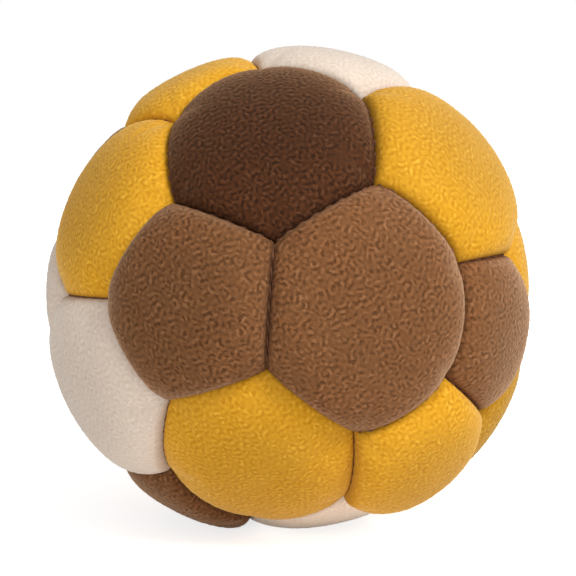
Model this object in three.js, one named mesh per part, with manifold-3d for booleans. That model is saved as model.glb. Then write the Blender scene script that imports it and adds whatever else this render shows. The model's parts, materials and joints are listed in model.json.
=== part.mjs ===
// A stuffed suede footbag. Twelve five-sided and fourteen six-sided panels, all with sides of one length, are
// sewn edge to edge with their edges turned in, round a loose filling. Millimetres, +Z up, and the origin is
// on the flat that the ball rests on, straight below the ball's middle. -Y is the side that faces the viewer.

import * as THREE from "three";
import { mergeGeometries, mergeVertices } from "three/addons/utils/BufferGeometryUtils.js";
import Module from "manifold-3d";

const wasm = await Module();
wasm.setup();

// Sizes of the ball
const seamRadius = 25.3; // ball's middle to the bottom of the seams, halfway along them
const panelRise = 2.6; // crown of a full panel above its seams
const cornerDip = 0.75; // how much deeper the seams are drawn in where three panels meet
const cornerSharpness = 0.4; // how near its seams the crown starts to follow the panel's corners
const restDepth = 0.5; // how far the ball's weight presses its base flat

// Sizes of the suede and of what lies under it
const suedeThickness = 0.9;
const hemDepth = 2.2; // panel's edge that is turned in along the seam
const seamGap = 0.3; // between the two turned-in edges of a seam
const fillingGap = 0.3; // between the filling and the suede

// How the ball lies on the table, turned about X, Y and Z in that order, in degrees
const lieAngles = [-161.3, -55.6, -174.4];

// The panels in sewing order: each is sewn to the one before it and to the oldest one with a free side
const fullnessShares = { flat: 0.42, slack: 0.7, soft: 0.82, full: 1, tight: 1.25, bulging: 1.42 };
const panels = [
  { sides: 5, colour: "brown", fill: "soft" },
  { sides: 5, colour: "cream", fill: "slack" },
  { sides: 6, colour: "cream", fill: "full" },
  { sides: 5, colour: "brown", fill: "soft" },
  { sides: 6, colour: "mustard", fill: "soft" },
  { sides: 6, colour: "darkBrown", fill: "soft" },
  { sides: 5, colour: "brown", fill: "slack" },
  { sides: 6, colour: "mustard", fill: "slack" },
  { sides: 5, colour: "brown", fill: "bulging" },
  { sides: 6, colour: "mustard", fill: "flat" },
  { sides: 6, colour: "cream", fill: "flat" },
  { sides: 5, colour: "brown", fill: "soft" },
  { sides: 6, colour: "mustard", fill: "soft" },
  { sides: 6, colour: "cream", fill: "full" },
  { sides: 5, colour: "mustard", fill: "soft" },
  { sides: 6, colour: "darkBrown", fill: "soft" },
  { sides: 6, colour: "brown", fill: "tight" },
  { sides: 5, colour: "mustard", fill: "tight" },
  { sides: 6, colour: "mustard", fill: "full" },
  { sides: 6, colour: "darkBrown", fill: "soft" },
  { sides: 5, colour: "mustard", fill: "full" },
  { sides: 6, colour: "cream", fill: "full" },
  { sides: 6, colour: "mustard", fill: "tight" },
  { sides: 5, colour: "brown", fill: "full" },
  { sides: 5, colour: "mustard", fill: "slack" },
  { sides: 5, colour: "brown", fill: "soft" },
];

// Fineness of the solids
const stepsPerSide = 3;
const outerRingShares = [0.35, 0.62, 0.82, 0.93, 0.985, 1];
const innerRingShares = [0.55, 0.85, 1];

const finishes = {
  mustard: new THREE.MeshStandardMaterial({ color: "#dca031", roughness: 0.95, metalness: 0 }),
  brown: new THREE.MeshStandardMaterial({ color: "#875b3a", roughness: 0.95, metalness: 0 }),
  darkBrown: new THREE.MeshStandardMaterial({ color: "#553622", roughness: 0.95, metalness: 0 }),
  cream: new THREE.MeshStandardMaterial({ color: "#dccdbf", roughness: 0.9, metalness: 0 }),
  filling: new THREE.MeshStandardMaterial({ color: "#e6e2d8", roughness: 0.8, metalness: 0 }),
};

// Which panels share a seam, worked out by sewing them on one after another
function sewTogether(sides) {
  const neighbours = sides.map(() => new Set());
  const openEdge = [];
  sides.forEach((count, panel) => {
    const added = { panel, free: count };
    const sewTo = (other) => {
      neighbours[panel].add(other.panel);
      neighbours[other.panel].add(panel);
      other.free -= 1;
      added.free -= 1;
    };
    if (panel === sides.length - 1) {
      openEdge.forEach(sewTo);
      return;
    }
    if (openEdge.length > 0) {
      sewTo(openEdge.at(-1));
    }
    if (openEdge.length > 1) {
      sewTo(openEdge[0]);
    }
    while (openEdge.length > 0 && openEdge[0].free === 0) {
      openEdge.shift();
      sewTo(openEdge[0]);
    }
    while (openEdge.length > 0 && openEdge.at(-1).free === 0) {
      openEdge.pop();
      sewTo(openEdge.at(-1));
    }
    openEdge.push(added);
  });
  return neighbours;
}

// A first direction for each panel: three values that change as slowly as they can from neighbour to neighbour
function spreadOut(neighbours) {
  const most = 2 * Math.max(...neighbours.map((around) => around.size));
  const starts = [(i) => Math.cos(i), (i) => Math.sin(i), (i) => i / neighbours.length];
  let columns = starts.map((start) => neighbours.map((around, i) => start(i)));
  const rounds = 400;
  for (let round = 0; round < rounds; round += 1) {
    columns = columns.map((column) => neighbours.map((around, i) => {
      const shared = [...around].reduce((sum, j) => sum + column[j], 0);
      return (most - around.size) * column[i] + shared;
    }));
    columns.forEach((column, index) => {
      const mean = column.reduce((sum, value) => sum + value, 0) / column.length;
      let rest = column.map((value) => value - mean);
      for (const earlier of columns.slice(0, index)) {
        const along = rest.reduce((sum, value, i) => sum + value * earlier[i], 0);
        rest = rest.map((value, i) => value - along * earlier[i]);
      }
      const length = Math.hypot(...rest);
      columns[index] = rest.map((value) => value / length);
    });
  }
  return neighbours.map((around, i) => new THREE.Vector3(...columns.map((column) => column[i])).normalize());
}

// Every corner where three panels meet, as the numbers of those panels
function meetingPoints(neighbours) {
  const corners = [];
  neighbours.forEach((around, a) => {
    for (const b of around) {
      for (const c of around) {
        if (a < b && b < c && neighbours[b].has(c)) {
          corners.push([a, b, c]);
        }
      }
    }
  });
  return corners;
}

function middleOf(points) {
  return points.reduce((sum, point) => sum.add(point), new THREE.Vector3()).divideScalar(points.length);
}

// Two directions at right angles to a third, turning anticlockwise seen from its tip
function directionsAcross(normal) {
  const start = Math.abs(normal.z) < Math.SQRT1_2 ? new THREE.Vector3(0, 0, 1) : new THREE.Vector3(1, 0, 0);
  const right = start.cross(normal).normalize();
  return [right, normal.clone().cross(right)];
}

// A panel's corners, in order round it
function ringRound(panel, corners, places) {
  const ring = corners.map((meeting, i) => i).filter((i) => corners[i].includes(panel));
  const [right, up] = directionsAcross(middleOf(ring.map((i) => places[i])).normalize());
  const angle = (i) => Math.atan2(places[i].dot(up), places[i].dot(right));
  return ring.sort((i, j) => angle(i) - angle(j));
}

// Where a regular panel of the given side best fits the places that its corners have now
function regularFit(points, side) {
  const middle = middleOf(points);
  const spokes = points.map((point) => point.clone().sub(middle));
  const normal = new THREE.Vector3();
  spokes.forEach((spoke, i) => normal.add(spoke.clone().cross(spokes[(i + 1) % spokes.length])));
  const [right, up] = directionsAcross(normal.normalize());
  const step = (2 * Math.PI) / points.length;
  let cosine = 0;
  let sine = 0;
  spokes.forEach((spoke, i) => {
    const x = spoke.dot(right);
    const y = spoke.dot(up);
    cosine += x * Math.cos(i * step) + y * Math.sin(i * step);
    sine += y * Math.cos(i * step) - x * Math.sin(i * step);
  });
  const turn = Math.atan2(sine, cosine);
  const reach = side / (2 * Math.sin(step / 2));
  return points.map((point, i) => middle.clone()
    .addScaledVector(right, reach * Math.cos(turn + i * step))
    .addScaledVector(up, reach * Math.sin(turn + i * step)));
}

// The length of side, on a ball of radius 1, at which flat regular panels just cover it
function sideOnUnitBall(sides) {
  const area = sides.reduce((sum, count) => sum + count / (4 * Math.tan(Math.PI / count)), 0);
  const flatnessShare = 0.985;
  return flatnessShare * Math.sqrt((4 * Math.PI) / area);
}

// Lets the corners settle on a ball of radius 1 until every panel is as regular as its neighbours allow
function settle(rings, places, side) {
  const rounds = 300;
  let settled = places;
  for (let round = 0; round < rounds; round += 1) {
    const sums = settled.map(() => new THREE.Vector3());
    for (const ring of rings) {
      const fitted = regularFit(ring.map((i) => settled[i]), side);
      ring.forEach((corner, i) => sums[corner].add(fitted[i]));
    }
    settled = sums.map((sum) => sum.normalize());
  }
  return settled;
}

// Turns the ball so that its first panel is on top, its second towards +X and its third on the -Y side, and
// then lays it down by the lie angles
function layDown(rings, places) {
  const [first, second, third] = rings.map((ring) => middleOf(ring.map((i) => places[i])).normalize());
  const x = second.clone().addScaledVector(first, -second.dot(first)).normalize();
  const y = first.clone().cross(x);
  if (third.dot(y) > 0) {
    y.negate();
  }
  const turn = new THREE.Euler(...lieAngles.map(THREE.MathUtils.degToRad), "XYZ");
  return places.map((place) => new THREE.Vector3(place.dot(x), place.dot(y), place.dot(first)).applyEuler(turn));
}

// A flat chart of one panel: its middle, two directions across it, its sides and the rays to points on its rim
function chartOf(corners) {
  const middle = middleOf(corners).normalize();
  const [right, up] = directionsAcross(middle);
  const flatten = (point) => new THREE.Vector2(point.dot(right), point.dot(up)).divideScalar(point.dot(middle));
  const sides = corners.map((corner, i) => {
    const from = flatten(corner);
    const along = flatten(corners[(i + 1) % corners.length]).sub(from).normalize();
    const outward = new THREE.Vector2(along.y, -along.x);
    return { outward, distance: outward.dot(from) };
  });
  const rim = corners.flatMap((corner, i) => Array.from({ length: stepsPerSide }, (unused, step) => {
    const next = corners[(i + 1) % corners.length];
    return flatten(corner.clone().lerp(next, step / stepsPerSide));
  }));
  const reach = Math.min(...sides.map((side) => side.distance));
  return { middle, right, up, sides, rim, reach };
}

// How near each side a ray comes at length 1, the largest first, for sides drawn in by an inset
function sideValues(chart, ray, inset) {
  return chart.sides.map((side) => Math.max(0, side.outward.dot(ray) / (side.distance - inset)))
    .sort((a, b) => b - a);
}

// A ring across a panel: share 0 is its middle and share 1 its edge, with corners that round off inwards
function ringPoint(chart, ray, share, inset) {
  const values = sideValues(chart, ray, inset);
  if (share === 1) {
    return ray.clone().multiplyScalar(1 / values[0]);
  }
  const sharpness = 2 + cornerSharpness / (1 - share);
  const size = values.reduce((sum, value) => sum + value ** sharpness, 0) ** (1 / sharpness);
  return ray.clone().multiplyScalar(share / size);
}

// How near a ray comes to a corner of its panel: 1 at the corner and 0 halfway along a side
function cornerCloseness(chart, ray) {
  const values = sideValues(chart, ray, 0);
  const halfway = Math.cos((2 * Math.PI) / chart.sides.length);
  return Math.max(0, (values[1] / values[0] - halfway) / (1 - halfway));
}

function lift(chart, flat, radius) {
  return chart.middle.clone()
    .addScaledVector(chart.right, flat.x)
    .addScaledVector(chart.up, flat.y)
    .normalize()
    .multiplyScalar(radius);
}

// The stuffed crown's height over the seams: full in the middle, upright where it meets its neighbour
function crownHeight(share, rise) {
  const squareness = 4.5;
  const edgeSteepness = 3.2;
  return rise * (1 - share ** squareness) ** (1 / edgeSteepness);
}

// The seams arch from corner to corner, and their dips reach only a little way into a panel
function surfaceRadius(chart, ray, share, rise) {
  const nearSeam = 8;
  const seamDepth = cornerDip * cornerCloseness(chart, ray) ** 2;
  return seamRadius - seamDepth * share ** nearSeam + crownHeight(share, rise);
}

// Joins a first point and the rings below it, from the outside in, and closes them with a last point
function stackedRings(first, rings, last) {
  const count = rings[0].length;
  const points = [first, ...rings.flat()];
  const triangles = [];
  const at = (ring, step) => 1 + ring * count + (step % count);
  for (let step = 0; step < count; step += 1) {
    triangles.push(0, at(0, step), at(0, step + 1));
    for (let ring = 0; ring + 1 < rings.length; ring += 1) {
      triangles.push(at(ring, step), at(ring + 1, step), at(ring + 1, step + 1));
      triangles.push(at(ring, step), at(ring + 1, step + 1), at(ring, step + 1));
    }
    if (last) {
      triangles.push(points.length, at(rings.length - 1, step + 1), at(rings.length - 1, step));
    }
  }
  if (last) {
    points.push(last);
  }
  const geometry = new THREE.BufferGeometry().setFromPoints(points);
  geometry.setIndex(triangles);
  return geometry;
}

const hemRadius = seamRadius - hemDepth;

function keptAbove(point, lowest) {
  point.z = Math.max(point.z, lowest);
  return point;
}

// One suede panel: a crowned skin of even thickness, whose edge turns in along its seams
function suedePanel(chart, rise, restHeight) {
  const outerInset = seamGap / 2 / hemRadius;
  const innerInset = (seamGap / 2 + suedeThickness) / hemRadius;
  const innerEdgeShare = (chart.reach - innerInset) / (chart.reach - outerInset);
  const outer = outerRingShares.map((share) => chart.rim.map((ray) => {
    return lift(chart, ringPoint(chart, ray, share, outerInset), surfaceRadius(chart, ray, share, rise));
  }));
  const hem = [outerInset, innerInset].map((inset) => chart.rim.map((ray) => {
    return lift(chart, ringPoint(chart, ray, 1, inset), hemRadius);
  }));
  const innerLowest = suedeThickness - restHeight;
  const inner = [...innerRingShares].reverse().map((share) => chart.rim.map((ray) => {
    const radius = surfaceRadius(chart, ray, share * innerEdgeShare, rise) - suedeThickness;
    return keptAbove(lift(chart, ringPoint(chart, ray, share, innerInset), radius), innerLowest);
  }));
  const top = chart.middle.clone().multiplyScalar(seamRadius + rise);
  const under = keptAbove(chart.middle.clone().multiplyScalar(seamRadius + rise - suedeThickness), innerLowest);
  return stackedRings(top, [...outer, ...hem, ...inner], under);
}

// The filling under one panel: a lobe that fits its skin, down to the groove that the turned-in edges need
function fillingLobe(chart, rise, restHeight) {
  const inset = (seamGap / 2 + suedeThickness + fillingGap) / hemRadius;
  const edgeShare = (chart.reach - inset) / chart.reach;
  const depth = suedeThickness + fillingGap;
  const grooveRadius = hemRadius - fillingGap;
  const lowest = depth - restHeight;
  const crown = innerRingShares.map((share) => chart.rim.map((ray) => {
    const radius = surfaceRadius(chart, ray, share * edgeShare, rise) - depth;
    return keptAbove(lift(chart, ringPoint(chart, ray, share, inset), radius), lowest);
  }));
  const groove = chart.rim.map((ray) => lift(chart, ringPoint(chart, ray, 1, inset), grooveRadius));
  const seam = chart.rim.map((ray) => lift(chart, ray, grooveRadius));
  const top = keptAbove(chart.middle.clone().multiplyScalar(seamRadius + rise - depth), lowest);
  return stackedRings(top, [...crown, groove, seam]);
}

function asSolid(geometry) {
  return new wasm.Manifold(new wasm.Mesh({
    numProp: 3,
    vertProperties: new Float32Array(geometry.attributes.position.array),
    triVerts: new Uint32Array(geometry.index.array),
  }));
}

function asGeometry(solid) {
  const mesh = solid.getMesh();
  const geometry = new THREE.BufferGeometry();
  geometry.setAttribute("position", new THREE.BufferAttribute(mesh.vertProperties, 3));
  geometry.setIndex(new THREE.BufferAttribute(mesh.triVerts, 1));
  return geometry;
}

// Cuts a panel flat where it would reach below the table
function pressedFlat(geometry, restHeight) {
  geometry.computeBoundingBox();
  if (geometry.boundingBox.min.z >= -restHeight) {
    return geometry;
  }
  const room = 4 * seamRadius;
  const aboveTable = new THREE.BoxGeometry(room, room, room).translate(0, 0, room / 2 - restHeight);
  aboveTable.deleteAttribute("normal");
  aboveTable.deleteAttribute("uv");
  return asGeometry(asSolid(geometry).intersect(asSolid(mergeVertices(aboveTable))));
}

function buildBall() {
  const sides = panels.map((panel) => panel.sides);
  const neighbours = sewTogether(sides);
  const directions = spreadOut(neighbours);
  const corners = meetingPoints(neighbours);
  const firstPlaces = corners.map((meeting) => middleOf(meeting.map((i) => directions[i])).normalize());
  const firstRings = panels.map((panel, i) => ringRound(i, corners, firstPlaces));
  const places = layDown(firstRings, settle(firstRings, firstPlaces, sideOnUnitBall(sides)));
  const charts = panels.map((panel, i) => chartOf(ringRound(i, corners, places).map((corner) => places[corner])));

  const rises = panels.map((panel) => panelRise * fullnessShares[panel.fill]);
  const heights = charts.map((chart) => chart.middle.z);
  const base = heights.indexOf(Math.min(...heights));
  const restHeight = seamRadius + rises[base] - restDepth;

  const ball = new THREE.Group();
  const counts = {};
  panels.forEach((panel, i) => {
    const shape = panel.sides === 5 ? "pentagon" : "hexagon";
    counts[shape] = (counts[shape] ?? 0) + 1;
    const geometry = pressedFlat(suedePanel(charts[i], rises[i], restHeight), restHeight);
    const mesh = new THREE.Mesh(geometry, finishes[panel.colour]);
    mesh.name = `${shape}_panel_${String(counts[shape]).padStart(2, "0")}`;
    ball.add(mesh);
  });
  const lobes = charts.map((chart, i) => fillingLobe(chart, rises[i], restHeight));
  const filling = new THREE.Mesh(mergeVertices(mergeGeometries(lobes)), finishes.filling);
  filling.name = "filling";
  ball.add(filling);
  ball.position.z = restHeight;
  return ball;
}

export default buildBall();
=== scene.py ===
# The looks of a stuffed suede footbag: twelve five-sided and fourteen six-sided panels, sewn edge to edge
# round a loose filling. Metres, +Z up, and -Y is the side that faces the viewer.

import json
import math

import bmesh
import bpy
import numpy as np
from mathutils import Euler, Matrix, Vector


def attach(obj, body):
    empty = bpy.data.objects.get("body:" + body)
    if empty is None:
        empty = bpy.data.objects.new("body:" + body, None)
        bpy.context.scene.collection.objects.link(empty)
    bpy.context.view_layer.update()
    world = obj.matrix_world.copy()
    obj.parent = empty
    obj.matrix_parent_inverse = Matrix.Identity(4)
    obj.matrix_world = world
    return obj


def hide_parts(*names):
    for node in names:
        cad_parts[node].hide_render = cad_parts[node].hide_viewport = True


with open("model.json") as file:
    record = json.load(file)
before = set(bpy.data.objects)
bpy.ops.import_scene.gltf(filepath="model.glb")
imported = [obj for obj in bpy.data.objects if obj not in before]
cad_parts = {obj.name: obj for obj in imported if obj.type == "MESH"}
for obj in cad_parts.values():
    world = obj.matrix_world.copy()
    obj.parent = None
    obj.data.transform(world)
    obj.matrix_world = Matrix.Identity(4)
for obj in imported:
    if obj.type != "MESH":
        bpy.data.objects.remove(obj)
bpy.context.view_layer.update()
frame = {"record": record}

MM = 0.001

# Sizes of the ball
SEAM_RADIUS = 25.3 * MM  # ball's middle to the bottom of the seams, halfway along them
PANEL_RISE = 2.6 * MM  # crown of a full panel above its seams
CROWN_SQUARENESS = 4.5  # how far out the crown stays high: 2 is a dome, more is a cushion
EDGE_STEEPNESS = 3.2  # how steeply the crown falls to its seams: 2 is round, more is steeper
CORNER_SHARPNESS = 0.4  # how near its seams the crown starts to follow the panel's corners
CORNER_DIP = 0.75 * MM  # how much deeper the seams are drawn in where three panels meet
REST_DEPTH = 0.5 * MM  # how far the ball's weight presses its base flat
LIE_ANGLES = (-161.3, -55.6, -174.4)  # how the ball lies: degrees about X, Y and Z, of which Z turns first

# Sizes of the suede
SUEDE_THICKNESS = 0.9 * MM
HEM_DEPTH = 2.2 * MM  # panel's edge that is turned in along the seam
SEAM_GAP = 0.1 * MM  # between the two turned-in edges of a seam
MOST_BULGE = 0.4 * MM  # how far the stuffing may push a skin from its crown
HEM_RADIUS = SEAM_RADIUS - HEM_DEPTH

# The panels in sewing order, each with how full it is stuffed
FULLNESS_SHARES = {"flat": 0.42, "slack": 0.7, "soft": 0.82, "full": 1.0, "tight": 1.25, "bulging": 1.42}
SEWING_ORDER = [
    ("pentagon_panel_01", "soft"), ("pentagon_panel_02", "slack"), ("hexagon_panel_01", "full"),
    ("pentagon_panel_03", "soft"), ("hexagon_panel_02", "soft"), ("hexagon_panel_03", "soft"),
    ("pentagon_panel_04", "slack"), ("hexagon_panel_04", "slack"), ("pentagon_panel_05", "bulging"),
    ("hexagon_panel_05", "flat"), ("hexagon_panel_06", "flat"), ("pentagon_panel_06", "soft"),
    ("hexagon_panel_07", "soft"), ("hexagon_panel_08", "full"), ("pentagon_panel_07", "soft"),
    ("hexagon_panel_09", "soft"), ("hexagon_panel_10", "tight"), ("pentagon_panel_08", "tight"),
    ("hexagon_panel_11", "full"), ("hexagon_panel_12", "soft"), ("pentagon_panel_09", "full"),
    ("hexagon_panel_13", "full"), ("hexagon_panel_14", "tight"), ("pentagon_panel_10", "full"),
    ("pentagon_panel_11", "slack"), ("pentagon_panel_12", "soft"),
]
NODES = [node for node, fill in SEWING_ORDER]
SIDES = [5 if node.startswith("pentagon") else 6 for node in NODES]
FILLS = [FULLNESS_SHARES[fill] for node, fill in SEWING_ORDER]
SLOTS = {row["node"]: row["material_slot"] for row in frame["record"]["subparts"]}

# How light a panel looks next to others of its colour, set by comparing renders with the photo. The nap lies
# another way on each panel, and part of each share is painted light and shade that makes up for light the
# lamps don't match
NAP_AND_LIGHT_TONE_SHARES = {
    "pentagon_panel_05": 0.93, "hexagon_panel_10": 1.05, "pentagon_panel_10": 1.06, "pentagon_panel_03": 0.88,
    "hexagon_panel_04": 1.08, "hexagon_panel_14": 0.98, "pentagon_panel_07": 1.08, "hexagon_panel_11": 0.74,
    "pentagon_panel_11": 1.02, "hexagon_panel_13": 0.97, "hexagon_panel_06": 1.2, "pentagon_panel_02": 0.94,
    "pentagon_panel_08": 1.01,
}

# The nap: curled strands, drawn by waves in many directions, of which those across its lie count most
CURL_WIDTH_MM = 0.57
CURL_WIDTH_SPREAD_SHARE = 0.16
CURL_WIDTH_TURN = 2.3  # how the widths differ from wave to wave, in radians
CURL_WIDTH_START = 0.5
STRAND_WAVES = 24
STRAND_CLARITY = 0.75 / math.sqrt(STRAND_WAVES)
LOOSE_STRAND_SHARE = 0.2
LYING_WAVES = 6
LYING_LENGTH_MM = 1.1
LENGTH_STEP_SHARE = 0.12  # how much longer each further swinging wave is
CLEAREST_LIE = 1.3  # the contrast of the strands where they lie most alike
BENDING_WAVES = 5
BEND_LENGTH_MM = 2.6
BEND_REACH_MM = 0.1
FRAY_MM = 0.45
NAP_RELIEF = 0.09 * MM

# Seam thread
THREAD_RADIUS = 0.13 * MM
STITCH_PITCH = 1.6 * MM
PUCKER_HEIGHT = 0.04 * MM  # where the stitches draw the suede in, along its edge

# Fineness of the meshes
FINE_RINGS = 60
LOOSE_RINGS = 16
SPREAD_ROUNDS = 400
RELAX_ROUNDS = 300


def unit(vectors):
    return vectors / np.linalg.norm(vectors, axis=-1, keepdims=True)


def sew_together(sides):
    """Which panels share a seam, worked out by sewing them on one after another."""
    neighbours = [set() for count in sides]
    free = list(sides)
    open_edge = []

    def sew(one, other):
        neighbours[one].add(other)
        neighbours[other].add(one)
        free[one] -= 1
        free[other] -= 1

    for panel in range(len(sides)):
        if panel == len(sides) - 1:
            for other in open_edge:
                sew(panel, other)
            break
        if open_edge:
            sew(panel, open_edge[-1])
        if len(open_edge) > 1:
            sew(panel, open_edge[0])
        while open_edge and free[open_edge[0]] == 0:
            open_edge.pop(0)
            sew(panel, open_edge[0])
        while open_edge and free[open_edge[-1]] == 0:
            open_edge.pop()
            sew(panel, open_edge[-1])
        open_edge.append(panel)
    return neighbours


def spread_out(neighbours):
    """A first direction for each panel: three values that change slowly from neighbour to neighbour."""
    count = len(neighbours)
    shared = np.zeros((count, count))
    for panel, around in enumerate(neighbours):
        shared[panel, list(around)] = 1
    degree = shared.sum(1)
    shared += np.diag(2 * degree.max() - degree)
    index = np.arange(count)
    columns = np.stack([np.cos(index), np.sin(index), index / count], axis=1)
    for _ in range(SPREAD_ROUNDS):
        columns = shared @ columns
        columns -= columns.mean(0)
        for k in range(3):
            for earlier in range(k):
                columns[:, k] -= columns[:, earlier] * (columns[:, k] @ columns[:, earlier])
            columns[:, k] /= np.linalg.norm(columns[:, k])
    return unit(columns)


def meeting_points(neighbours):
    """Every corner where three panels meet, as the numbers of those panels."""
    return [
        (a, b, c)
        for a, around in enumerate(neighbours)
        for b in around
        for c in around
        if a < b < c and c in neighbours[b]
    ]


def directions_across(normal):
    """Two directions at right angles to a third, turning anticlockwise seen from its tip."""
    start = (0, 0, 1) if abs(normal[2]) < math.sqrt(0.5) else (1, 0, 0)
    right = unit(np.cross(start, normal))
    return right, np.cross(normal, right)


def ring_round(panel, corners, places):
    """A panel's corners, in order round it."""
    ring = [i for i, meeting in enumerate(corners) if panel in meeting]
    right, up = directions_across(unit(places[ring].mean(0)))
    return sorted(ring, key=lambda i: math.atan2(places[i] @ up, places[i] @ right))


def regular_fit(points, side):
    """Where a regular panel of the given side best fits the places that its corners have now."""
    middle = points.mean(0)
    spokes = points - middle
    normal = unit(np.cross(spokes, np.roll(spokes, -1, axis=0)).sum(0))
    right, up = directions_across(normal)
    step = 2 * math.pi / len(points)
    regular = np.exp(1j * step * np.arange(len(points)))
    turn = np.sum((spokes @ right + 1j * (spokes @ up)) * regular.conj())
    fitted = side / (2 * math.sin(step / 2)) * turn / abs(turn) * regular
    return middle + fitted.real[:, None] * right + fitted.imag[:, None] * up


def side_on_unit_ball(sides):
    """The length of side, on a ball of radius 1, at which flat regular panels just cover it."""
    flatness_share = 0.985
    area = sum(count / (4 * math.tan(math.pi / count)) for count in sides)
    return flatness_share * math.sqrt(4 * math.pi / area)


def settle(rings, places, side):
    """Lets the corners settle until every panel is as regular as its neighbours allow."""
    for _ in range(RELAX_ROUNDS):
        sums = np.zeros_like(places)
        for ring in rings:
            sums[ring] += regular_fit(places[ring], side)
        places = unit(sums)
    return places


def lay_down(rings, places):
    """Turns the ball by its first three panels to a first position, and from there by the lie angles."""
    first, second, third = (unit(places[ring].mean(0)) for ring in rings[:3])
    x = unit(second - (second @ first) * first)
    y = np.cross(first, x)
    if third @ y > 0:
        y = -y
    turn = Euler([math.radians(angle) for angle in LIE_ANGLES], "ZYX").to_matrix()
    return np.stack([places @ x, places @ y, places @ first], axis=1) @ np.array(turn).T


def crown_height(shares):
    """The height of a stuffed crown, from 1 in its middle to 0 at its seams."""
    return np.maximum(0, 1 - shares ** CROWN_SQUARENESS) ** (1 / EDGE_STEEPNESS)


class Panel:
    """A flat chart of one panel: its middle, two directions across it and its sides, and its crown's rise."""

    def __init__(self, node, corners, rise):
        self.node = node
        self.count = len(corners)
        self.corners = corners
        self.rise = rise
        self.middle = unit(corners.mean(0))
        self.right, self.up = directions_across(self.middle)
        flat = self.flatten(corners)
        along = unit(np.roll(flat, -1, axis=0) - flat)
        self.outward = np.stack([along[:, 1], -along[:, 0]], axis=1)
        self.distance = (self.outward * flat).sum(1)
        self.reach = self.distance.min()

    def flatten(self, points):
        return np.stack([points @ self.right, points @ self.up], axis=-1) / (points @ self.middle)[..., None]

    def rays(self, turns):
        """Flat places on the rim, for turns counted in sides from the first corner."""
        corner = np.floor(turns).astype(int) % self.count
        following = (corner + 1) % self.count
        part = (turns % 1)[:, None]
        return self.flatten(self.corners[corner] * (1 - part) + self.corners[following] * part)

    def side_values(self, rays, inset):
        """How near each side a ray comes at length 1, the largest first, for sides drawn in by an inset."""
        values = np.maximum(0, rays @ self.outward.T / (self.distance - inset))
        return -np.sort(-values, axis=1)

    def across(self, rays, shares, inset):
        """Flat places at shares from the middle, 0, to the edge, 1, with corners that round off inwards."""
        values = self.side_values(rays, inset)
        largest = values[:, 0]
        least_way_in = 1e-4
        sharpness = 2 + CORNER_SHARPNESS / np.maximum(1 - shares, least_way_in)
        rounded = ((values / largest[:, None]) ** sharpness[:, None]).sum(1) ** (1 / sharpness)
        return rays * (shares / (largest * np.where(shares < 1, rounded, 1)))[:, None]

    def seam_depth(self, rays):
        """How deep the seam is drawn in at each ray: it arches from corner to corner."""
        values = self.side_values(rays, 0)
        halfway = math.cos(2 * math.pi / self.count)
        nearness = np.maximum(0, (values[:, 1] / values[:, 0] - halfway) / (1 - halfway))
        return CORNER_DIP * nearness ** 2

    def radius(self, rays, shares):
        """The stuffed crown: full in the middle, upright where it meets its neighbour."""
        near_seam = 8
        return SEAM_RADIUS - self.seam_depth(rays) * shares ** near_seam + self.rise * crown_height(shares)

    def lift(self, flat, radius):
        points = self.middle + flat[:, :1] * self.right + flat[:, 1:] * self.up
        return unit(points) * np.asarray(radius).reshape(-1, 1)


def build_layout():
    """All panels in their places, and the height of the ball's middle above the table."""
    neighbours = sew_together(SIDES)
    directions = spread_out(neighbours)
    corners = meeting_points(neighbours)
    places = unit(np.array([directions[list(meeting)].mean(0) for meeting in corners]))
    rings = [ring_round(panel, corners, places) for panel in range(len(SIDES))]
    places = lay_down(rings, settle(rings, places, side_on_unit_ball(SIDES)))
    panels = []
    for index, node in enumerate(NODES):
        ring = ring_round(index, corners, places)
        panels.append(Panel(node, places[ring], PANEL_RISE * FILLS[index]))
    base = min(panels, key=lambda panel: panel.middle[2])
    return panels, SEAM_RADIUS + base.rise - REST_DEPTH


def wave_directions(count, offset):
    """Directions spread evenly over half a ball, each with a phase of its own."""
    golden_turn = math.pi * (3 - math.sqrt(5))
    rows = []
    for wave in range(count):
        up = (wave + 0.5) / count
        level = math.sqrt(1 - up * up)
        turn = golden_turn * wave + offset
        direction = (level * math.cos(turn), level * math.sin(turn), up)
        rows.append((direction, golden_turn * wave * wave + offset))
    return rows


def swinging_waves(count, length, reach, offset):
    """Waves that swing a vector about: each with its direction, phase, rate and the swing at its crest."""
    rows = []
    swings = [direction for direction, phase in wave_directions(count, offset + 1)]
    for number, (direction, phase) in enumerate(wave_directions(count, offset)):
        rate = 2 * math.pi / (length * (1 + LENGTH_STEP_SHARE * number))
        swing = swings[number]
        if number % 2:
            swing = (swing[2], swing[0], -swing[1])
        rows.append((direction, phase, rate, tuple(reach * part for part in swing)))
    return rows


def bending_waves():
    """What bends the strands, in millimetres."""
    return swinging_waves(BENDING_WAVES, BEND_LENGTH_MM, BEND_REACH_MM, 0.4)


def lying_waves():
    """What turns the way in which the nap lies from place to place."""
    return swinging_waves(LYING_WAVES, LYING_LENGTH_MM, 1, 2.1)


def strand_waves():
    """Each strand wave's direction, phase and rate."""
    rows = []
    for number, (direction, phase) in enumerate(wave_directions(STRAND_WAVES, 0.0)):
        spread = math.sin(CURL_WIDTH_TURN * number + CURL_WIDTH_START)
        width = CURL_WIDTH_MM * (1 + CURL_WIDTH_SPREAD_SHARE * spread)
        rows.append((direction, phase, 2 * math.pi / width))
    return rows


def swing_about(at, waves):
    return sum(
        np.sin(at @ direction * rate + phase)[:, None] * swing
        for direction, phase, rate, swing in waves
    )


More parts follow.
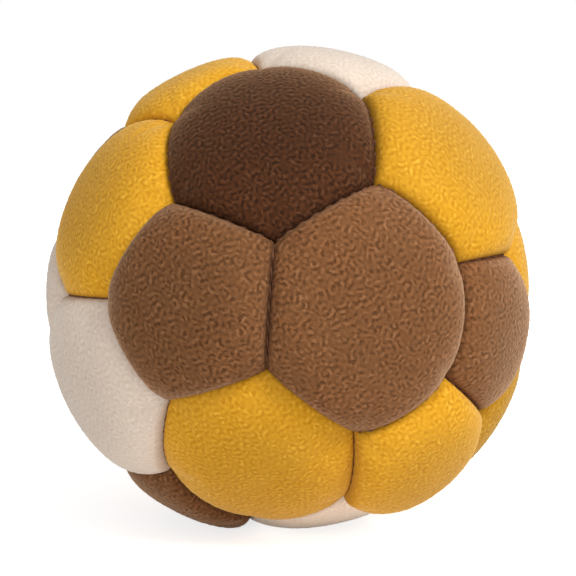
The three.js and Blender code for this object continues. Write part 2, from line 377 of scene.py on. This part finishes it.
def nap_strands(points):
    """How high the nap's strands stand at points round the ball's middle, from 0 to 1, as in its colour."""
    at = points / MM
    bent = at + swing_about(at, bending_waves())
    across = np.cross(swing_about(at, lying_waves()), unit(at))
    across *= CLEAREST_LIE / np.sqrt((across ** 2).sum(axis=1, keepdims=True) + 1)
    total = 0
    for direction, phase, rate in strand_waves():
        amount = (across @ direction) ** 2 + LOOSE_STRAND_SHARE
        total = total + amount * np.cos(bent @ direction * rate + phase)
    return np.clip(STRAND_CLARITY * total + 0.5, 0, 1)


def fan_points(sides, rings):
    """The ring and the turn, counted in sides, of each point of a fan of triangles, without its middle."""
    ring = np.concatenate([np.full(sides * j, j) for j in range(1, rings + 1)])
    step = np.concatenate([np.arange(sides * j) for j in range(1, rings + 1)])
    return ring, step / ring


def ring_start(sides, ring):
    return 1 + sides * ring * (ring - 1) // 2


def fan_triangles(sides, rings):
    """The triangles between the rings of a fan whose ring j has j points along each side."""
    triangles = []
    for j in range(1, rings + 1):
        for side in range(sides):
            step = np.arange(j)
            outer = ring_start(sides, j) + side * j + step
            following = ring_start(sides, j) + (side * j + step + 1) % (sides * j)
            if j == 1:
                inner = np.zeros(1, int)
            else:
                inner = ring_start(sides, j - 1) + (side * (j - 1) + step) % (sides * (j - 1))
            triangles.append(np.stack([outer, following, inner], axis=1))
            triangles.append(np.stack([outer[1:], inner[1:], inner[:-1]], axis=1))
    return np.concatenate(triangles)


def band(upper, lower):
    """The triangles between two closed rows of points, the outer one first."""
    following = np.roll(upper, -1)
    below = np.roll(lower, -1)
    halves = [np.stack([upper, lower, below], axis=1), np.stack([upper, below, following], axis=1)]
    return np.concatenate(halves)


def even_shares(panel, rings):
    """Shares of rings from a panel's middle to its edge, evenly spaced along its crown."""
    measured_steps = 2000
    fine = 1 - np.linspace(1, 0, measured_steps) ** 2
    across = fine * panel.reach * SEAM_RADIUS
    height = panel.rise * crown_height(fine)
    length = np.concatenate([[0], np.cumsum(np.hypot(np.diff(across), np.diff(height)))])
    return np.interp(np.linspace(0, length[-1], rings + 1), length, fine)


def crown_points(panel, rings, inset):
    """The outer surface of a panel on a fan: its points and their shares, the middle first."""
    shares = even_shares(panel, rings)
    ring, turns = fan_points(panel.count, rings)
    rays = panel.rays(turns)
    share = shares[ring]
    points = panel.lift(panel.across(rays, share, inset), panel.radius(rays, share))
    top = panel.middle[None] * (SEAM_RADIUS + panel.rise)
    return np.concatenate([top, points]), np.concatenate([[0], share])


def read_fan(sides, values, rings, turns):
    """Values given on a fan of points, read at rings and turns between its points."""

    def on_ring(ring):
        places = turns * ring
        step = np.floor(places).astype(int)
        size = np.maximum(sides * ring, 1)
        start = np.where(ring > 0, ring_start(sides, ring), 0)
        part = places - step
        return values[start + step % size] * (1 - part) + values[start + (step + 1) % size] * part

    lower = np.floor(rings).astype(int)
    part = rings - lower
    return on_ring(lower) * (1 - part) + on_ring(np.ceil(rings).astype(int)) * part


def evened_out(values, triangles, rounds):
    """Values drawn towards those of their neighbours on a mesh."""
    one, other = np.concatenate([triangles[:, [0, 1]], triangles[:, [1, 2]], triangles[:, [2, 0]]]).T
    size = len(values)
    degree = np.bincount(one, minlength=size) + np.bincount(other, minlength=size)
    for _ in range(rounds):
        sums = np.bincount(one, values[other], size) + np.bincount(other, values[one], size)
        values = (values + sums / degree) / 2
    return values


def stuff(panels):
    """Sews all skins into one cloth, stuffs it by simulation and gives each panel's bulge on a loose fan."""
    enlarged = 20
    growth_share = 0.035
    frames = 14
    evening_rounds = 4
    skins = [crown_points(panel, LOOSE_RINGS, SEAM_GAP / 2 / HEM_RADIUS) for panel in panels]
    starts = np.cumsum([0] + [len(points) for points, shares in skins])
    places = np.concatenate([points for points, shares in skins])
    shares = np.concatenate([shares for points, shares in skins])
    triangles = [fan_triangles(panel.count, LOOSE_RINGS) + start for panel, start in zip(panels, starts)]
    triangles = np.concatenate(triangles)
    cloth = new_mesh("skins_to_stuff", places * enlarged, triangles)
    pins = cloth.vertex_groups.new(name="seams")
    pins.add(np.flatnonzero(shares == 1).tolist(), 1.0, "REPLACE")

    stuffing = cloth.modifiers.new("Stuffing", "CLOTH")
    stuffing.settings.quality = 5
    stuffing.settings.mass = 0.3
    stuffing.settings.tension_stiffness = 15
    stuffing.settings.compression_stiffness = 15
    stuffing.settings.shear_stiffness = 5
    stuffing.settings.bending_stiffness = 0.4
    stuffing.settings.use_pressure = True
    stuffing.settings.uniform_pressure_force = 4
    stuffing.settings.effector_weights.gravity = 0
    stuffing.settings.vertex_group_mass = "seams"
    stuffing.settings.shrink_min = -growth_share
    stuffing.collision_settings.use_collision = False
    stuffing.point_cache.frame_end = frames
    for number in range(1, frames + 1):
        bpy.context.scene.frame_set(number)
    result = cloth.evaluated_get(bpy.context.evaluated_depsgraph_get()).data
    stuffed = np.empty(3 * len(places), np.float32)
    result.vertices.foreach_get("co", stuffed)
    bpy.context.scene.frame_set(1)
    bpy.data.objects.remove(cloth)
    bulge = np.linalg.norm(stuffed.reshape(-1, 3), axis=1) / enlarged - np.linalg.norm(places, axis=1)
    bulge = evened_out(bulge, triangles, evening_rounds)
    bulges = []
    for start, end in zip(starts[:-1], starts[1:]):
        crown = crown_height(shares[start:end])
        uneven = bulge[start:end] - crown * bulge[start:end].sum() / crown.sum()
        bulges.append(np.clip(uneven, -MOST_BULGE, MOST_BULGE))
    return bulges


def new_mesh(name, points, triangles):
    mesh = bpy.data.meshes.new(name)
    mesh.vertices.add(len(points))
    mesh.vertices.foreach_set("co", np.asarray(points, np.float32).ravel())
    mesh.loops.add(3 * len(triangles))
    mesh.loops.foreach_set("vertex_index", np.asarray(triangles, np.int32).ravel())
    mesh.polygons.add(len(triangles))
    mesh.polygons.foreach_set("loop_start", np.arange(0, 3 * len(triangles), 3, dtype=np.int32))
    mesh.polygons.foreach_set("use_smooth", np.ones(len(triangles), bool))
    mesh.update(calc_edges=True)
    mesh.validate()
    piece = bpy.data.objects.new(name, mesh)
    bpy.context.scene.collection.objects.link(piece)
    return piece


def mark(piece, name, values):
    attribute = piece.data.attributes.new(name, "FLOAT", "POINT")
    attribute.data.foreach_set("value", np.asarray(values, np.float32))


def stitch_count(one, other):
    """How many stitches a seam has between two corners."""
    fewest = 3
    return max(fewest, round(SEAM_RADIUS * math.acos(one @ other) / STITCH_PITCH))


def puckers(panel, turns):
    """Low at each stitch and high between two, for turns counted in sides from the first corner."""
    following = np.roll(panel.corners, -1, axis=0)
    counts = [stitch_count(one, other) for one, other in zip(panel.corners, following)]
    return np.cos(2 * math.pi * turns * np.array(counts)[np.floor(turns).astype(int) % panel.count])


def make_panel(panel, bulge, rest_height):
    """One suede panel: a crowned skin whose edge turns in along its seams, closed on its inside."""
    outer_inset = SEAM_GAP / 2 / HEM_RADIUS
    inner_inset = (SEAM_GAP / 2 + SUEDE_THICKNESS) / HEM_RADIUS
    hem_steps = 3
    inner_ring_shares = (1, 0.8, 0.5)
    nap_fades, folds_start, folds_end = 16, 20, 80  # powers of the share: more is nearer the seam
    points, shares = crown_points(panel, FINE_RINGS, outer_inset)
    ring, turns = fan_points(panel.count, FINE_RINGS)
    loose_ring = np.concatenate([[0], ring * (LOOSE_RINGS / FINE_RINGS)])
    swell = read_fan(panel.count, bulge, loose_ring, np.concatenate([[0], turns]))
    relief = NAP_RELIEF * (nap_strands(points) - 0.5) * (1 - shares ** nap_fades)
    folds = PUCKER_HEIGHT * puckers(panel, np.concatenate([[0], turns]))
    folds = folds * shares ** folds_start * (1 - shares ** folds_end)
    points += unit(points) * (swell + relief + folds)[:, None]
    triangles = [fan_triangles(panel.count, FINE_RINGS)]

    turns = np.arange(panel.count * FINE_RINGS) / FINE_RINGS
    rays = panel.rays(turns)
    edge = np.ones(len(turns))
    edge_radius = panel.radius(rays, edge)
    rows = []
    for step in range(1, hem_steps + 1):
        radius = edge_radius + (HEM_RADIUS - edge_radius) * step / hem_steps
        rows.append(panel.lift(panel.across(rays, edge, outer_inset), radius))
    rows.append(panel.lift(panel.across(rays, edge, inner_inset), edge * HEM_RADIUS))
    inner_edge_share = (panel.reach - inner_inset) / (panel.reach - outer_inset)
    for share in inner_ring_shares:
        radius = panel.radius(rays, share * inner_edge_share * edge) - SUEDE_THICKNESS
        rows.append(panel.lift(panel.across(rays, share * edge, inner_inset), radius))
    under = panel.middle[None] * (SEAM_RADIUS + panel.rise - SUEDE_THICKNESS)

    row = ring_start(panel.count, FINE_RINGS) + np.arange(len(turns))
    count = len(points)
    for _ in rows:
        following = count + np.arange(len(turns))
        triangles.append(band(row, following))
        row = following
        count += len(turns)
    triangles.append(np.stack([np.full(len(turns), count), np.roll(row, -1), row], axis=1))

    everything = np.concatenate([points, *rows, under])
    everything[:, 2] = np.maximum(everything[:, 2] + rest_height, 0)
    hidden = len(everything) - len(shares)
    piece = new_mesh(panel.node + "_suede", everything, np.concatenate(triangles))
    mark(piece, "seam_share", np.concatenate([shares, np.ones(hidden)]))
    # Each panel's nap tone, partly painted light and shade
    mark(piece, "nap_and_painted_light_tone", np.full(len(everything), NAP_AND_LIGHT_TONE_SHARES.get(panel.node, 1)))
    return piece


def make_filling(panels, rest_height):
    """The loose filling: lobes of pellets that fit the skins, with grooves round the turned-in edges."""
    rings = 16
    clearance = 0.1 * MM
    pellet_radius = 1.3 * MM
    depth = SUEDE_THICKNESS + clearance
    inset = (SEAM_GAP / 2 + depth) / HEM_RADIUS
    groove_radius = HEM_RADIUS - clearance
    parts = []
    triangles = []
    count = 0
    for panel in panels:
        shares = np.linspace(0, 1, rings + 1)
        ring, turns = fan_points(panel.count, rings)
        rays = panel.rays(turns)
        share = shares[ring]
        edge_share = (panel.reach - inset) / panel.reach
        lobe = panel.lift(panel.across(rays, share, inset), panel.radius(rays, share * edge_share) - depth)
        top = panel.middle[None] * (SEAM_RADIUS + panel.rise - depth)
        rim = rays[ring == rings]
        level = np.full(len(rim), groove_radius)
        groove = panel.lift(panel.across(rim, np.ones(len(rim)), inset), level)
        seam = panel.lift(rim, level)
        parts.append(np.concatenate([top, lobe, groove, seam]))
        row = ring_start(panel.count, rings) + np.arange(len(rim))
        below = 1 + len(lobe) + np.arange(len(rim))
        triangles += [fan_triangles(panel.count, rings) + count, band(row, below) + count]
        triangles.append(band(below, below + len(rim)) + count)
        count += len(parts[-1])
    points = np.concatenate(parts)
    points -= unit(points) * pellet_dents(points, pellet_radius)[:, None]
    points[:, 2] = np.maximum(points[:, 2] + rest_height, depth)
    piece = new_mesh("pellet_filling", points, np.concatenate(triangles))
    sewn = bmesh.new()
    sewn.from_mesh(piece.data)
    bmesh.ops.remove_doubles(sewn, verts=sewn.verts, dist=0.001 * MM)
    sewn.to_mesh(piece.data)
    sewn.free()
    return piece


def pellet_dents(points, pellet_radius):
    """How far the surface falls in between the pellets that lie nearest to it."""
    pellets_on_half = 700
    slices = 20
    pellets = np.array([direction for direction, phase in wave_directions(pellets_on_half, 0.0)])
    pellets = np.concatenate([pellets, -pellets])
    directions = unit(points)
    nearest = np.concatenate([(part @ pellets.T).max(1) for part in np.array_split(directions, slices)])
    apart = np.arccos(np.clip(nearest, -1, 1)) * SEAM_RADIUS
    return pellet_radius - np.sqrt(np.maximum(0, pellet_radius ** 2 - apart ** 2))


def tube(path, radius, corners, first):
    """The points and triangles of a closed tube along a path."""
    ahead = unit(np.gradient(path, axis=0))
    outward = unit(path)
    across = unit(np.cross(ahead, outward))
    outward = np.cross(across, ahead)
    turns = 2 * math.pi * np.arange(corners) / corners
    rows = [path + radius * (math.cos(turn) * across + math.sin(turn) * outward) for turn in turns]
    points = np.concatenate([np.stack(rows, axis=1).reshape(-1, 3), path[[0, -1]]])
    triangles = []
    index = first + np.arange(len(path) * corners).reshape(len(path), corners)
    for row, following in zip(index[:-1], index[1:]):
        triangles.append(band(row, following))
    starts = np.full(corners, first + len(path) * corners)
    triangles.append(np.stack([starts, index[0], np.roll(index[0], -1)], axis=1))
    triangles.append(np.stack([starts + 1, np.roll(index[-1], -1), index[-1]], axis=1))
    return points, np.concatenate(triangles)


def make_thread(panels, rest_height):
    """The seam thread: a whip stitch that winds through both turned-in edges of every seam."""
    thread_corners = 6
    ends_share = 0.03
    merging_digits = 6
    side_swing = 0.05 * MM
    height_swing = 0.22 * MM
    depth = 0.6 * MM
    steps_per_stitch = 8
    groove_share = 0.52
    seams = {}
    for panel in panels:
        for one, other in zip(panel.corners, np.roll(panel.corners, -1, axis=0)):
            middle = tuple(np.round(unit(one + other), merging_digits))
            seams.setdefault(middle, []).append((one, other, panel.rise))
    all_points = []
    all_triangles = []
    count = 0
    for (one, other, rise), (unused_one, unused_other, other_rise) in seams.values():
        stitches = stitch_count(one, other)
        part = np.linspace(ends_share, 1 - ends_share, stitches * steps_per_stitch)
        line = unit(one * (1 - part)[:, None] + other * part[:, None])
        sideways = unit(np.cross(one, other))
        turn = 2 * math.pi * stitches * part
        dip = CORNER_DIP * (2 * part - 1) ** 2
        middle_radius = SEAM_RADIUS - depth + groove_share * min(rise, other_rise)
        radius = middle_radius - dip + height_swing * np.cos(turn)
        path = line * radius[:, None] + sideways * (side_swing * np.sin(turn))[:, None]
        points, triangles = tube(path, THREAD_RADIUS, thread_corners, count)
        all_points.append(points)
        all_triangles.append(triangles)
        count += len(points)
    points = np.concatenate(all_points)
    points[:, 2] = np.maximum(points[:, 2] + rest_height, 0)
    return new_mesh("seam_thread", points, np.concatenate(all_triangles))


def from_srgb(red, green, blue):
    """A colour as it is seen, from 0 to 255, in the renderer's linear values."""
    shares = [value / 255 for value in (red, green, blue)]
    linear = [((share + 0.055) / 1.055) ** 2.4 if share > 0.04 else share / 12.92 for share in shares]
    return (*linear, 1)


def place(tree, kind, inputs=None, **settings):
    """Adds a node with its settings, and with inputs that are values or other nodes' outputs."""
    node = tree.nodes.new(kind)
    for name, value in settings.items():
        setattr(node, name, value)
    for name, value in (inputs or {}).items():
        if isinstance(value, bpy.types.NodeSocket):
            tree.links.new(value, node.inputs[name])
        else:
            node.inputs[name].default_value = value
    return node


def maths(tree, operation, *values, clamp=False):
    node = place(tree, "ShaderNodeMath", dict(enumerate(values)), operation=operation, use_clamp=clamp)
    return node.outputs[0]


def ramp(tree, value, zero_at, one_at):
    """A mask that goes evenly from 0 to 1 between two values, and stays there outside them."""
    slope = 1 / (one_at - zero_at)
    return maths(tree, "MULTIPLY_ADD", value, slope, -zero_at * slope, clamp=True)


def mix_colours(tree, factor, one, other):
    node = place(tree, "ShaderNodeMix", data_type="RGBA")
    sockets = {socket.identifier: socket for socket in node.inputs}
    for identifier, value in (("Factor_Float", factor), ("A_Color", one), ("B_Color", other)):
        if isinstance(value, bpy.types.NodeSocket):
            tree.links.new(value, sockets[identifier])
        else:
            sockets[identifier].default_value = value
    return next(socket for socket in node.outputs if socket.identifier == "Result_Color")


def group_with(name, inputs, outputs):
    """An empty node group with its sockets, and its input and output nodes."""
    group = bpy.data.node_groups.new(name, "ShaderNodeTree")
    for socket, kind, value in inputs:
        made = group.interface.new_socket(socket, in_out="INPUT", socket_type=kind)
        made.default_value = value
    for socket, kind in outputs:
        group.interface.new_socket(socket, in_out="OUTPUT", socket_type=kind)
    return group, group.nodes.new("NodeGroupInput"), group.nodes.new("NodeGroupOutput")


def vector_maths(tree, operation, *values):
    node = place(tree, "ShaderNodeVectorMath", dict(enumerate(values)), operation=operation)
    return node.outputs["Value" if operation == "DOT_PRODUCT" else "Vector"]


def scale_vector(tree, vector, factor):
    node = place(tree, "ShaderNodeVectorMath", {0: vector, "Scale": factor}, operation="SCALE")
    return node.outputs["Vector"]


def wave(tree, vector, direction, phase, rate, shape):
    """A wave through space: the sine or cosine of how far a place lies along a direction."""
    along = vector_maths(tree, "DOT_PRODUCT", vector, direction)
    return maths(tree, shape, maths(tree, "MULTIPLY_ADD", along, rate, phase))


def noise(tree, at, scale, detail, output="Fac", roughness=0.5):
    inputs = {"Vector": at, "Scale": scale, "Detail": detail, "Roughness": roughness}
    return place(tree, "ShaderNodeTexNoise", inputs).outputs[output]


def swing_vector(tree, at, start, waves):
    """A vector that waves through space swing about."""
    vector = start
    for direction, phase, rate, swing in waves:
        swung = scale_vector(tree, swing, wave(tree, at, direction, phase, rate, "SINE"))
        vector = vector_maths(tree, "ADD", vector, swung)
    return vector


def suede_nap_group(rest_height):
    """Short curled strands of nap over a darker ground, with a slow drift of colour and finer fibres, painted
    highlights on the strands, painted shade where the suede turns into the seams and a painted sheen towards
    them.
    """
    fray_per_mm = 4.0
    fibres_per_mm = 8.0
    drifts_per_mm = 0.16
    spots_per_mm = 1.3
    fibre_share = 0.9
    drift_share = 0.35
    # Painted highlight: how strongly some strand crests are made lighter
    painted_highlight_share = 0.7
    painted_rim_sheen_share = 0.15  # painted sheen: how much lighter the nap is painted towards the seams
    painted_seam_shade_share = 0.2  # painted shade: how much darker it is painted where it turns into them
    group, given, result = group_with(
        "Suede nap",
        [
            ("Ground", "NodeSocketColor", (0.1, 0.1, 0.1, 1)),
            ("Strand", "NodeSocketColor", (0.5, 0.5, 0.5, 1)),
            ("Drift", "NodeSocketColor", (0.3, 0.3, 0.3, 1)),
            ("Painted highlight", "NodeSocketColor", (0.8, 0.8, 0.8, 1)),
            ("Clarity", "NodeSocketFloat", 1.0),
        ],
        [
            ("Color", "NodeSocketColor"), ("Roughness", "NodeSocketFloat"), ("Height", "NodeSocketFloat"),
            ("Painted sheen mask", "NodeSocketFloat"), ("Tone with painted light", "NodeSocketFloat"),
        ],
    )
    where = place(group, "ShaderNodeTexCoord").outputs["Object"]
    in_mm = scale_vector(group, vector_maths(group, "SUBTRACT", where, (0, 0, rest_height)), 1 / MM)
    curled = swing_vector(group, in_mm, in_mm, bending_waves())
    lie = swing_vector(group, in_mm, (0, 0, 0), lying_waves())
    across = vector_maths(group, "CROSS_PRODUCT", lie, vector_maths(group, "NORMALIZE", in_mm))
    squared = maths(group, "ADD", vector_maths(group, "DOT_PRODUCT", across, across), 1.0)
    firmness = maths(group, "INVERSE_SQRT", squared)
    across = scale_vector(group, across, maths(group, "MULTIPLY", firmness, CLEAREST_LIE))
    frayed = noise(group, in_mm, fray_per_mm, 2.0, "Color")
    frayed = scale_vector(group, vector_maths(group, "SUBTRACT", frayed, (0.5, 0.5, 0.5)), FRAY_MM)
    curled = vector_maths(group, "ADD", curled, frayed)
    total = 0.0
    for direction, phase, rate in strand_waves():
        aligned = vector_maths(group, "DOT_PRODUCT", across, direction)
        amount = maths(group, "MULTIPLY_ADD", aligned, aligned, LOOSE_STRAND_SHARE)
        crest = wave(group, curled, direction, phase, rate, "COSINE")
        total = maths(group, "MULTIPLY_ADD", amount, crest, total)
    strands = maths(group, "MULTIPLY_ADD", total, STRAND_CLARITY, 0.5, clamp=True)

    fibres = noise(group, curled, fibres_per_mm, 3.0, roughness=0.7)
    cover = maths(group, "MULTIPLY_ADD", strands, 0.75, -0.25)
    cover = maths(group, "MULTIPLY_ADD", fibres, fibre_share, cover, clamp=True)
    closed = maths(group, "MULTIPLY", cover, maths(group, "MULTIPLY_ADD", cover, -0.5, 1.5))
    mask = maths(group, "MULTIPLY", closed, given.outputs["Clarity"], clamp=True)
    colour = mix_colours(group, mask, given.outputs["Ground"], given.outputs["Strand"])

    slow = noise(group, in_mm, drifts_per_mm, 3.0, roughness=0.55)
    slow = ramp(group, slow, 0.34375, 0.96875)
    colour = mix_colours(group, maths(group, "MULTIPLY", slow, drift_share), colour, given.outputs["Drift"])

    # Painted highlights: a lighter colour on some crests of the strands
    spots = noise(group, in_mm, spots_per_mm, 1.0)
    crests = ramp(group, strands, 0.675, 0.925)
    painted_highlights = maths(group, "MULTIPLY", crests, ramp(group, spots, 5 / 12, 5 / 6))
    painted_highlights = maths(group, "MULTIPLY", painted_highlights, painted_highlight_share)
    colour = mix_colours(group, painted_highlights, colour, given.outputs["Painted highlight"])

    share = place(group, "ShaderNodeAttribute", attribute_name="seam_share").outputs["Fac"]
    # Painted sheen: the base colour is lighter towards the seams
    painted_rim_sheen = ramp(group, share, 0.44, 0.84)
    # Painted shade: the base colour is darker where the suede turns into the seams
    painted_seam_shade = ramp(group, share, 0.956, 0.996)
    seam_shade_and_sheen_tone = maths(group, "MULTIPLY_ADD", painted_seam_shade, -painted_seam_shade_share, 1.0)
    seam_shade_and_sheen_tone = maths(group, "MULTIPLY_ADD", painted_rim_sheen, painted_rim_sheen_share, seam_shade_and_sheen_tone)
    # Times each panel's nap tone, which is partly painted light and shade
    panel_nap_and_light_tone = place(group, "ShaderNodeAttribute", attribute_name="nap_and_painted_light_tone").outputs["Fac"]
    group.links.new(maths(group, "MULTIPLY", seam_shade_and_sheen_tone, panel_nap_and_light_tone), result.inputs["Tone with painted light"])

    height = maths(group, "MULTIPLY_ADD", strands, 0.7, maths(group, "MULTIPLY", fibres, fibre_share))
    rough = maths(group, "MULTIPLY_ADD", mask, -0.08, 0.98)
    group.links.new(colour, result.inputs["Color"])
    group.links.new(rough, result.inputs["Roughness"])
    group.links.new(height, result.inputs["Height"])
    # Where the painted sheen may show: clear of the seams, and more on the strands
    clear_of_seam = ramp(group, share, 0.98, 0.93)
    painted_sheen_mask = maths(group, "MULTIPLY", clear_of_seam, maths(group, "MULTIPLY_ADD", strands, 0.6, 0.7))
    group.links.new(painted_sheen_mask, result.inputs["Painted sheen mask"])
    return group


def suede(nap_group, name, ground, strand, drift, painted_highlight_colour, sheen_colour, painted_sheen_strength, clarity, relief):
    """Synthetic suede with a short curled nap and a painted sheen: paler where it is seen from the side."""
    painted_sheen_power = 3.3
    bump_depth = 0.12 * MM
    material = bpy.data.materials.new(name)
    material.use_nodes = True
    tree = material.node_tree
    tree.nodes.clear()
    values = {"Ground": ground, "Strand": strand, "Drift": drift, "Painted highlight": painted_highlight_colour, "Clarity": clarity}
    nap = place(tree, "ShaderNodeGroup", node_tree=nap_group)
    for socket, value in values.items():
        nap.inputs[socket].default_value = value
    bumps = {"Strength": relief, "Distance": bump_depth, "Height": nap.outputs["Height"]}
    bump = place(tree, "ShaderNodeBump", bumps)
    # Painted sheen: the colour turns pale where the surface is seen from the side
    facing = place(tree, "ShaderNodeLayerWeight", {"Blend": 0.5}).outputs["Facing"]
    painted_sheen = maths(tree, "MULTIPLY", maths(tree, "POWER", facing, painted_sheen_power), painted_sheen_strength)
    painted_sheen = maths(tree, "MULTIPLY", painted_sheen, nap.outputs["Painted sheen mask"], clamp=True)
    colour = mix_colours(tree, painted_sheen, nap.outputs["Color"], sheen_colour)
    shader = place(tree, "ShaderNodeBsdfPrincipled", {
        "Base Color": scale_vector(tree, colour, nap.outputs["Tone with painted light"]),
        "Roughness": nap.outputs["Roughness"],
        "Normal": bump.outputs["Normal"],
        "Specular IOR Level": 0.15,
        "Sheen Weight": 0.15,
        "Sheen Roughness": 0.4,
        "Sheen Tint": sheen_colour,
    })
    output = place(tree, "ShaderNodeOutputMaterial")
    tree.links.new(shader.outputs["BSDF"], output.inputs["Surface"])
    return material


def make_suedes(rest_height):
    """The four colours of suede, by their slots: ground, strand, drift, painted highlight and painted sheen
    colour of each.
    """
    nap_group = suede_nap_group(rest_height)
    return {
        "mustard_suede": suede(
            nap_group, "Mustard suede", from_srgb(183, 122, 12), from_srgb(232, 175, 47),
            from_srgb(208, 158, 60),
            from_srgb(240, 188, 70), from_srgb(252, 220, 156), 0.35, 0.62, 0.3,
        ),
        "brown_suede": suede(
            nap_group, "Brown suede", from_srgb(66, 37, 17), from_srgb(138, 91, 55),
            from_srgb(114, 83, 52),
            from_srgb(160, 114, 78), from_srgb(194, 158, 126), 1.1, 0.9, 0.5,
        ),
        "dark_brown_suede": suede(
            nap_group, "Dark brown suede", from_srgb(24, 12, 5), from_srgb(83, 47, 24),
            from_srgb(64, 41, 24),
            from_srgb(104, 70, 46), from_srgb(164, 126, 94), 1.1, 1.0, 0.5,
        ),
        "cream_suede": suede(
            nap_group, "Cream suede", from_srgb(206, 187, 168), from_srgb(225, 208, 193),
            from_srgb(218, 200, 186),
            from_srgb(234, 220, 206), from_srgb(250, 240, 228), 0.5, 0.9, 0.2,
        ),
    }


def plain_material(name, colour, other_colour, grain, roughness):
    """A small part's finish: one colour that drifts a little to another."""
    bump_depth = 0.05 * MM
    material = bpy.data.materials.new(name)
    material.use_nodes = True
    tree = material.node_tree
    tree.nodes.clear()
    where = place(tree, "ShaderNodeTexCoord").outputs["Object"]
    drift = noise(tree, where, 1 / grain, 2.0)
    stretched = ramp(tree, drift, 0.25, 0.75)
    bump = place(tree, "ShaderNodeBump", {"Strength": 0.4, "Distance": bump_depth, "Height": drift})
    shader = place(tree, "ShaderNodeBsdfPrincipled", {
        "Base Color": mix_colours(tree, stretched, colour, other_colour),
        "Roughness": roughness,
        "Normal": bump.outputs["Normal"],
    })
    output = place(tree, "ShaderNodeOutputMaterial")
    tree.links.new(shader.outputs["BSDF"], output.inputs["Surface"])
    return material


THREAD = plain_material("Seam thread", from_srgb(92, 56, 32), from_srgb(124, 80, 50), 0.2 * MM, 0.9)
PELLETS = plain_material("Pellets", from_srgb(222, 218, 208), from_srgb(238, 235, 228), 2.0 * MM, 0.45)


def aim(thing, target):
    """Points a camera or a lamp at a place."""
    thing.rotation_euler = (Vector(target) - thing.location).to_track_quat("-Z", "Y").to_euler()


def make_camera(rest_height):
    """A long lens at the photo's height, with a small shift that sets the ball where the photo has it."""
    distance = 186 * MM
    elevation = math.radians(8)
    lens = 102.3
    frame_pixels = 576
    ball_right_pixels = -0.5
    ball_down_pixels = 5.8
    data = bpy.data.cameras.new("Camera")
    camera = bpy.data.objects.new("Camera", data)
    bpy.context.scene.collection.objects.link(camera)
    data.lens = lens
    data.sensor_width = 36
    data.clip_start = 0.01
    data.clip_end = 20
    data.shift_x = -ball_right_pixels / frame_pixels
    data.shift_y = ball_down_pixels / frame_pixels
    middle = Vector((0, 0, rest_height))
    camera.location = middle + distance * Vector((0, -math.cos(elevation), math.sin(elevation)))
    aim(camera, middle)
    bpy.context.scene.camera = camera


def make_lamp(name, place_at, size, power, target):
    data = bpy.data.lights.new(name, "AREA")
    data.shape = "DISK"
    data.size = size
    data.energy = power
    lamp = bpy.data.objects.new(name, data)
    bpy.context.scene.collection.objects.link(lamp)
    lamp.location = place_at
    aim(lamp, target)


def background_rays(tree):
    """A mask of the rays that show the background: straight, mirrored or through glass."""
    rays = place(tree, "ShaderNodeLightPath").outputs
    mask = maths(tree, "MAXIMUM", rays["Is Camera Ray"], rays["Is Glossy Ray"])
    return maths(tree, "MAXIMUM", mask, rays["Is Transmission Ray"])


def make_light(rest_height):
    """A soft key lamp from the upper right, a fill from low in front, and a white room."""
    middle = (0, 0, rest_height)
    make_lamp("Key light", place_at=(0.66, -0.58, 0.79), size=0.5, power=10.0, target=middle)
    make_lamp("Fill light", place_at=(-0.25, -0.9, 0.05), size=0.6, power=3.2, target=middle)
    world = bpy.data.worlds.new("White room")
    bpy.context.scene.world = world
    world.use_nodes = True
    tree = world.node_tree
    tree.nodes.clear()
    room_level = 0.36
    strength = maths(tree, "MULTIPLY_ADD", background_rays(tree), 1 - room_level, room_level)
    back = place(tree, "ShaderNodeBackground", {"Color": (1, 1, 1, 1), "Strength": strength})
    output = place(tree, "ShaderNodeOutputWorld")
    tree.links.new(back.outputs[0], output.inputs["Surface"])


def make_floor():
    """A pale floor that keeps the ball's shadow."""
    half = 4.0
    level = -0.02 * MM  # just under the ball, so that its flat base and the floor don't share a plane
    glow_level = 0.74
    corners = [(-half, -half, level), (half, -half, level), (half, half, level), (-half, half, level)]
    floor = new_mesh("floor", corners, [(0, 1, 2), (0, 2, 3)])
    material = bpy.data.materials.new("Pale floor")
    material.use_nodes = True
    tree = material.node_tree
    tree.nodes.clear()
    diffuse = place(tree, "ShaderNodeBsdfDiffuse", {"Color": (0.9, 0.9, 0.9, 1)})
    lift = maths(tree, "MULTIPLY", background_rays(tree), glow_level)
    glow = place(tree, "ShaderNodeEmission", {"Color": (1, 1, 1, 1), "Strength": lift})
    both = place(tree, "ShaderNodeAddShader")
    tree.links.new(diffuse.outputs[0], both.inputs[0])
    tree.links.new(glow.outputs[0], both.inputs[1])
    output = place(tree, "ShaderNodeOutputMaterial")
    tree.links.new(both.outputs[0], output.inputs["Surface"])
    floor.data.materials.append(material)


def add_piece(piece, material, node=None):
    """Gives a piece its finish and its place in the part, and has it stand for its node if it has one."""
    piece.data.materials.append(material)
    if node:
        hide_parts(node)
    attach(piece, "root")


def build():
    """Makes all pieces, the camera, the light and the floor."""
    panels, rest_height = build_layout()
    make_camera(rest_height)
    bulges = stuff(panels)
    suedes = make_suedes(rest_height)
    for panel, fill, bulge in zip(panels, FILLS, bulges):
        piece = make_panel(panel, bulge, rest_height)
        add_piece(piece, suedes[SLOTS[panel.node]], panel.node)
    add_piece(make_filling(panels, rest_height), PELLETS, "filling")
    add_piece(make_thread(panels, rest_height), THREAD)
    make_light(rest_height)
    make_floor()


build()
bpy.context.scene.view_settings.view_transform = "Standard"
